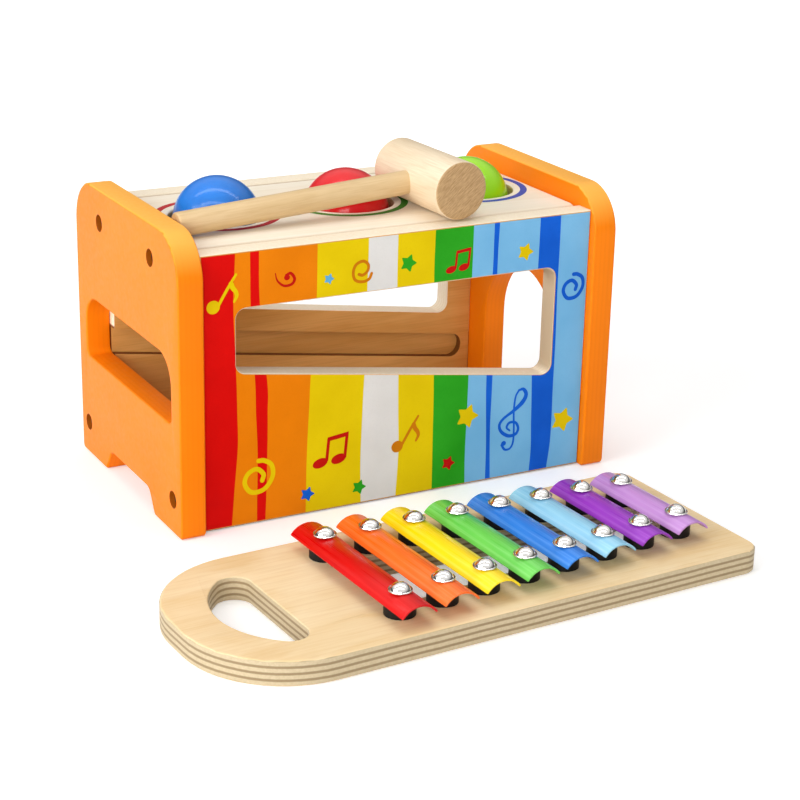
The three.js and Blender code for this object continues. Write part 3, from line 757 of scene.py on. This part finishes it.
# Balls, with a ring printed round each hole
ballLooks = [
    ("blue", ("#C43A3C", "#B02C30"), {"colour": "#1D79D6", "deep": "#166CC8", "smooth": 0.3, "rough": 0.4}),
    ("red", ("#47882F", "#3B7826"), {"colour": "#E0181E", "deep": "#CE0E16", "smooth": 0.3, "rough": 0.4}),
    ("green", ("#4C60BC", "#3E50A8"), {"colour": "#A6EA1C", "deep": "#98E010", "smooth": 0.3, "rough": 0.4}),
]
ringLook = {"inside": 29.4, "outside": 33.1, "lift": 0.05, "sides": 96}
ballShape = {"capAngle": 86, "arcSteps": 43, "sides": 72}
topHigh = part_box("top_board")[1]


def ringShape(centre, look):
    sides, height = look["sides"], topHigh.z + look["lift"] * mm
    points, faces = [], []
    for k in range(sides):
        angle = 2 * pi * k / sides
        for reach in (look["inside"] * mm, look["outside"] * mm):
            points.append((centre.x + reach * cos(angle), centre.y + reach * sin(angle), height))
        after = (k + 1) % sides
        faces.append((2 * k, 2 * k + 1, 2 * after + 1, 2 * after))
    return points, faces


for name, ringTones, look in ballLooks:
    low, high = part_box("ball_" + name)
    centre, radius = (low + high) / 2, (high.z - low.z) / 2
    cap = ballShape["capAngle"]
    profile = [(0, -radius)] + arcPoints(0, 0, radius, -cap, cap, ballShape["arcSteps"]) + [(0, radius)]
    paint = makeBallPaint("ballPaint" + name.capitalize(), look)
    addPiece("paintedBall" + name.capitalize(), *turnedShape(profile, ballShape["sides"]), [paint], "ball_" + name,
             f"ball_{name}_paint", "ball_" + name, Matrix.Translation(centre))
    ringInk = makeInk("ringInk" + name.capitalize(), *ringTones)
    addPiece("holeRing" + name.capitalize(), *ringShape(centre, ringLook), [ringInk], "bench", "pale_wood")
print("balls and rings made")

# Mallet, turned in pale hardwood
malletLook = {
    "turn": 2.2, "headLength": 63.8, "headRound": 1.4, "headSides": 80,
    "handleDiameter": 12.6, "handleRound": 1.8, "handleReach": 145.3, "handleDrop": 9, "handleSides": 48,
}
malletWoodLook = {
    "turn": (0, 0, radians(50)), "lengthways": "Z",
    "patches": (70, 70, 14), "fibres": (1200, 1200, 60), "fibreShare": 0.4,
    "pale": "#EAD8BC", "deep": "#DFC9A8", "fibre": "#C6A276", "smooth": 0.4, "rough": 0.56,
    "endGrain": (240, 1500, 600), "endPale": "#C8A477", "endDeep": "#A88558",
    "sideways": "Z", "sideShade": "#CCA26C", "sideShadeShare": 0,
}
handleWoodLook = {**malletWoodLook, "pale": "#DABE92", "deep": "#CCAC7A", "fibre": "#B48C58", "fibreShare": 0.35}
malletWood = makeWood("malletHeadWood", malletWoodLook)
handleWood = makeWood("malletHandleWood", handleWoodLook)

headLow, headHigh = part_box("mallet_head")
headCentre = (headLow + headHigh) / 2
turn = radians(malletLook["turn"])
headAlong = Vector((-sin(turn), cos(turn), 0))
headRadius = (headHigh.z - headLow.z) / 2
half, rounding = malletLook["headLength"] * mm / 2, malletLook["headRound"] * mm
profile = [(0, -half), (headRadius * 0.5, -half)]
profile += arcPoints(headRadius - rounding, rounding - half, rounding, -90, 0, 5)
profile += arcPoints(headRadius - rounding, half - rounding, rounding, 0, 90, 5)
profile += [(headRadius * 0.5, half), (0, half)]
shape = turnedShape(profile, malletLook["headSides"])
addPiece("malletHeadTurned", *shape, [malletWood], "mallet", "pale_wood", "mallet_head",
         frameAlong(headCentre, headAlong, Vector((0, 0, 1))))

slope = asin(malletLook["handleDrop"] / malletLook["handleReach"])
handleAlong = Vector((-cos(slope) * cos(turn), -cos(slope) * sin(turn), -sin(slope)))
radius, rounding = malletLook["handleDiameter"] * mm / 2, malletLook["handleRound"] * mm
reach = malletLook["handleReach"] * mm
# the handle begins inside the head
start = headRadius * 0.9
profile = [(0, start), (radius, start)]
profile += arcPoints(radius - rounding, reach - rounding, rounding, 0, 90, 5) + [(0, reach)]
shape = turnedShape(profile, malletLook["handleSides"])
addPiece("malletHandleTurned", *shape, [handleWood], "mallet", "pale_wood", "mallet_handle",
         frameAlong(headCentre, handleAlong, Vector((0, 0, 1))))
print("mallet made")

# Xylophone board
boardTurn = radians(2.9)
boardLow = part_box("xylophone_board")[0]
boardLook = {
    **birchLook, "turn": (0, 0, -boardTurn),
    "patches": (16, 42, 60), "fibres": (26, 800, 1100), "fibreShare": 0.3,
    "pale": "#F0DAB2", "deep": "#E4C592", "fibre": "#CFA66C", "lineShare": 0.8, "edgeSpan": (0.35, 0.6),
    "edgePale": "#CFBD9C", "edgeMid": "#C4B18E", "edgeDark": "#8A7250",
    "axis": "Z", "plyStart": boardLow.z + 0.0015, "plyStep": 0.0031,
}
dress("xylophone_board", makePlywood("boardPlywood", boardLook))

# Bars: arched strips of painted metal
barLook = {"width": 18.8, "rise": 4.9, "thickness": 1, "edge": 0.3, "endRound": 0.35, "arcSteps": 20}
barPaints = [
    ("1_red", {"colour": "#D00A0A", "deep": "#C20608", "streak": "#E0322C"}),
    ("2_orange", {"colour": "#F87026", "deep": "#EE6418", "streak": "#FF965C"}),
    ("3_yellow", {"colour": "#F6DA14", "deep": "#F0CE0A", "streak": "#FFEE70"}),
    ("4_green", {"colour": "#6CCB56", "deep": "#5CBE48", "streak": "#9CE08A"}),
    ("5_blue", {"colour": "#2E7CD8", "deep": "#246EC8", "streak": "#6EA8EC"}),
    ("6_light_blue", {"colour": "#92CAE4", "deep": "#84BEDC", "streak": "#BCE2F2"}),
    ("7_purple", {"colour": "#963ABA", "deep": "#842DA8", "streak": "#B56AD2"}),
    ("8_lilac", {"colour": "#BE8CCC", "deep": "#B27EC2", "streak": "#D6B2DE"}),
]


# A bar's section, drawn in by an inset, with its long edges eased
def barSection(look, inset):
    outer = (look["width"] ** 2 / 4 + look["rise"] ** 2) / (2 * look["rise"])
    inner, edge, steps = outer - look["thickness"], look["edge"], look["arcSteps"]
    sweep = asin(look["width"] / 2 / outer) - inset / outer
    top = look["rise"] - outer
    spots = []
    for step in range(steps + 1):
        angle = (sweep - edge / outer) * (1 - 2 * step / steps)
        spots.append((outer - inset, angle))
    spots += [(outer - edge, -sweep), (inner + edge, -sweep)]
    for step in range(steps + 1):
        angle = (sweep - edge / outer) * (2 * step / steps - 1)
        spots.append((inner + inset, angle))
    spots += [(inner + edge, sweep), (outer - edge, sweep)]
    return [(reach * sin(angle) * mm, (top + reach * cos(angle)) * mm) for reach, angle in spots]


# A bar's length follows from the box of its turned solid
def buildBar(nodeName, look, paint):
    low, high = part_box(nodeName)
    wide, deep = high.x - low.x, high.y - low.y
    c, s = cos(boardTurn), sin(boardTurn)
    length = (deep * c - wide * s) / (c * c - s * s)
    rings = []
    rounding = look["endRound"] * mm
    # three rings round each end
    for inset, back in ((1, 0), (0.29, 0.29), (0, 1)):
        ring = barSection(look, look["endRound"] * inset)
        rings.append([(x, -length / 2 + rounding * back, z) for x, z in ring])
    rings += [[(x, -y, z) for x, y, z in ring] for ring in reversed(rings)]
    points, faces = loftShape(rings)
    middle = (low + high) / 2
    foot = Matrix.Translation((middle.x, middle.y, high.z - look["rise"] * mm))
    place = foot @ Matrix.Rotation(boardTurn, 4, "Z")
    name = "archedBar" + "".join(part.capitalize() for part in nodeName.split("_")[1:])
    slot = "bar_paint_" + nodeName.split("_", 2)[2]
    addPiece(name, points, faces, [paint], "xylophone", slot, nodeName, place)


for key, look in barPaints:
    buildBar("bar_" + key, barLook, makeBarPaint("barPaint" + key.split("_")[0], look))
print("bars made")

# Dome screws and rubber spacers
domeLook = {"diameter": 11.5, "height": 4, "rim": 0.9, "shank": 3.5, "sides": 56, "arcSteps": 14}
chromeLook = {"colour": "#E9E7E4", "deep": "#D6D3CE", "smooth": 0.05, "rough": 0.16}
chrome = makeMetal("chrome", chromeLook)


def domeProfile(look, bottom):
    radius, rim, height = look["diameter"] * mm / 2, look["rim"] * mm, look["height"] * mm
    shank = look["shank"] * mm / 2
    curve = ((radius - rim) ** 2 + (height - rim) ** 2) / (2 * (height - rim))
    sweep = asin((radius - rim * 0.6) / curve)
    profile = [(0, bottom), (shank, bottom), (shank, 0), (radius - rim * 0.5, 0)]
    profile += arcPoints(radius - rim * 0.5, rim * 0.5, rim * 0.5, -60, 75, 6)
    steps = look["arcSteps"]
    angles = [sweep * (1 - i / steps) for i in range(1, steps)]
    profile += [(curve * sin(a), height - curve + curve * cos(a)) for a in angles]
    return profile + [(0, height)]


for number in range(1, 9):
    for end in ("front", "back"):
        nodeName = f"bar_screw_{number}_{end}"
        low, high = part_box(nodeName)
        seat = high.z - domeLook["height"] * mm
        shape = turnedShape(domeProfile(domeLook, low.z - seat), domeLook["sides"])
        place = Matrix.Translation(((low.x + high.x) / 2, (low.y + high.y) / 2, seat))
        name = f"domeScrew{number}{end.capitalize()}"
        addPiece(name, *shape, [chrome], "xylophone", "chrome", nodeName, place)
        dress(f"spacer_{number}_{end}", blackRubber)
print("dome screws and spacers made")

# Floor, light and camera
scene = bpy.context.scene
scene.view_settings.view_transform = "Standard"
stageLook = {
    "floor": "#F0F0F0", "size": 8, "glowNear": 0.28, "glowFar": 0.75, "glowSpan": (0.3, 1.1),
    "sky": 0.45, "horizon": 0.1, "roomSpan": (0.25, 0.6),
}


def seenDirectly(tree):
    path = addNode(tree, "LightPath")
    seen = maths(tree, "MAXIMUM", path.outputs["Is Camera Ray"], path.outputs["Is Glossy Ray"])
    return maths(tree, "MAXIMUM", seen, path.outputs["Is Transmission Ray"])


def buildStage(look):
    size = look["size"]
    mesh = bpy.data.meshes.new("floor")
    corners = [(-size, -size, 0), (size, -size, 0), (size, size, 0), (-size, size, 0)]
    mesh.from_pydata(corners, [], [(0, 1, 2, 3)])
    floor = bpy.data.objects.new("floor", mesh)
    scene.collection.objects.link(floor)
    material, tree = newMaterial("floorPaper")
    paper = addNode(tree, "BsdfDiffuse", {"Color": linear(look["floor"])})
    place = addNode(tree, "TexCoord").outputs["Object"]
    # the paper glows more away from the part, so its shadows stay and the rest is white
    away = distance(tree, place, benchMiddle)
    strength = spread(tree, away, *look["glowSpan"], look["glowNear"], look["glowFar"])
    glow = addNode(tree, "Emission", {"Strength": maths(tree, "MULTIPLY", seenDirectly(tree), strength)})
    both = addNode(tree, "AddShader", {0: paper.outputs[0], 1: glow.outputs[0]})
    addNode(tree, "OutputMaterial", {"Surface": both.outputs[0]})
    mesh.materials.append(material)
    world = bpy.data.worlds.new("studio")
    world.use_nodes = True
    scene.world = world
    tree = world.node_tree
    path = addNode(tree, "LightPath")
    upward = axisOf(tree, addNode(tree, "TexCoord").outputs["Generated"], "Z")
    # a dim room all round, which only polished surfaces mirror
    mirrored = spread(tree, upward, *look["roomSpan"], look["horizon"], 1)
    strength = spread(tree, path.outputs["Is Glossy Ray"], 0, 1, look["sky"], mirrored)
    strength = maths(tree, "MAXIMUM", strength, path.outputs["Is Camera Ray"])
    sky = tree.nodes["Background"]
    tree.links.new(strength, sky.inputs["Strength"])
    sky.inputs["Color"].default_value = (1, 1, 1, 1)


# Each light: place and aim in m from the bench's middle, length and width, power, and the rays that meet it
lightLooks = [
    ("keyLight", (-1.6, -0.35, 0.8), (0, -0.05, 0.08), (1.2, 1.2), 20, "all"),
    ("windowLight", (-0.9, -1.5, 0.5), (0, -0.05, 0.08), (0.8, 0.8), 12, "all"),
    ("topLight", (0.1, 0.3, 1.9), (0, 0, 0.08), (1.6, 1.6), 14, "diffuse"),
    ("insideLight", (0.04, 0, 0.117), (0.05, 0.02, 0.03), (0.14, 0.08), 0.034, "diffuse"),
    ("upperStrip", (0.05, 0.1, 1.35), (0.02, 0, 0.1), (2.4, 0.14), 7, "glossy"),
    ("frontStrip", (-0.35, -0.6, 1.2), (0, 0, 0.1), (1.8, 0.14), 5, "glossy"),
]
# Their long sides lie across the camera's view
lightAcross = Vector((0.878, -0.478, 0))


def buildLights(looks):
    for name, spot, aim, size, power, rays in looks:
        data = bpy.data.lights.new(name, "AREA")
        data.shape, data.energy = "RECTANGLE", power
        data.size, data.size_y = size
        light = bpy.data.objects.new(name, data)
        scene.collection.objects.link(light)
        light.visible_diffuse = rays != "glossy"
        light.visible_glossy = rays != "diffuse"
        place = benchMiddle + Vector(spot)
        ahead = (benchMiddle + Vector(aim) - place).normalized()
        across = (lightAcross - ahead * lightAcross.dot(ahead)).normalized()
        axes = Matrix((across, across.cross(ahead), -ahead)).transposed().to_4x4()
        light.matrix_world = Matrix.Translation(place) @ axes


# The camera stands where the photograph was taken, in mm from the bench's middle
cameraLook = {
    "lens": 89.1, "sensor": 36, "clip": (0.01, 50), "place": (-461.409, -913.861, 403.509),
    "ahead": (0.44928774, 0.82601888, -0.34034297), "up": (0.14188146, 0.31015097, 0.94004044),
}


def buildCamera(look):
    data = bpy.data.cameras.new("camera")
    data.lens, data.sensor_width = look["lens"], look["sensor"]
    data.clip_start, data.clip_end = look["clip"]
    camera = bpy.data.objects.new("camera", data)
    scene.collection.objects.link(camera)
    ahead, up = Vector(look["ahead"]), Vector(look["up"])
    axes = Matrix((ahead.cross(up), up, -ahead)).transposed().to_4x4()
    camera.matrix_world = Matrix.Translation(onBench(*look["place"])) @ axes
    scene.camera = camera


buildStage(stageLook)
buildLights(lightLooks)
buildCamera(cameraLook)
print("floor, lights and camera set")
